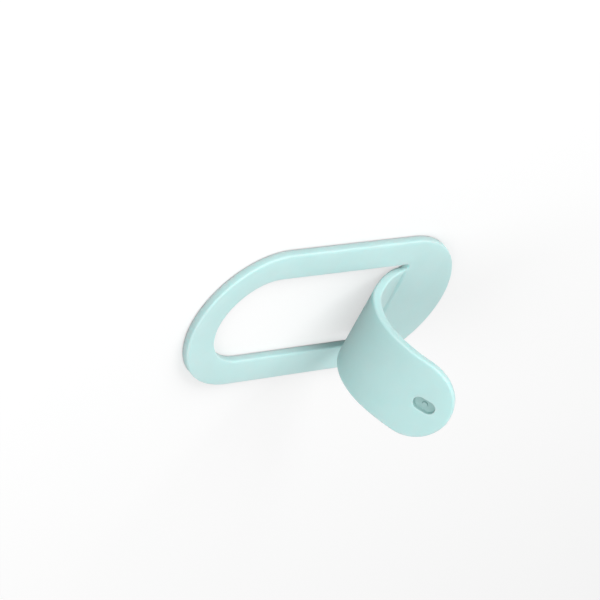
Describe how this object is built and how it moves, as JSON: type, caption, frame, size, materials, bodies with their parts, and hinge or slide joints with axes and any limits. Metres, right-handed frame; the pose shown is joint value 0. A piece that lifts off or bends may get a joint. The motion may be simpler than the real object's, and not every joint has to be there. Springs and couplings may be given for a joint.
{
  "type": "phone holder",
  "caption": "Soft stick-on phone holder: a flat race-track ring whose inner tongue is joined at one end and curls up as a finger loop, clip and stand.",
  "frame": {"origin": "on the back of the adhesive pad, under the middle of the ring's outline", "axes": "+X along the ring towards the end where the tongue is joined, +Y across the ring, +Z out of the surface it is stuck to"},
  "size_m": [0.0774, 0.0386, 0.0389],
  "materials": {
    "silicone": "matte soft-touch silicone, pale mint",
    "tape": "translucent double-sided tape"
  },
  "bodies": {
    "root": {"silicone_holder": "silicone", "adhesive_pad": "tape"}
  },
  "joints": []
}
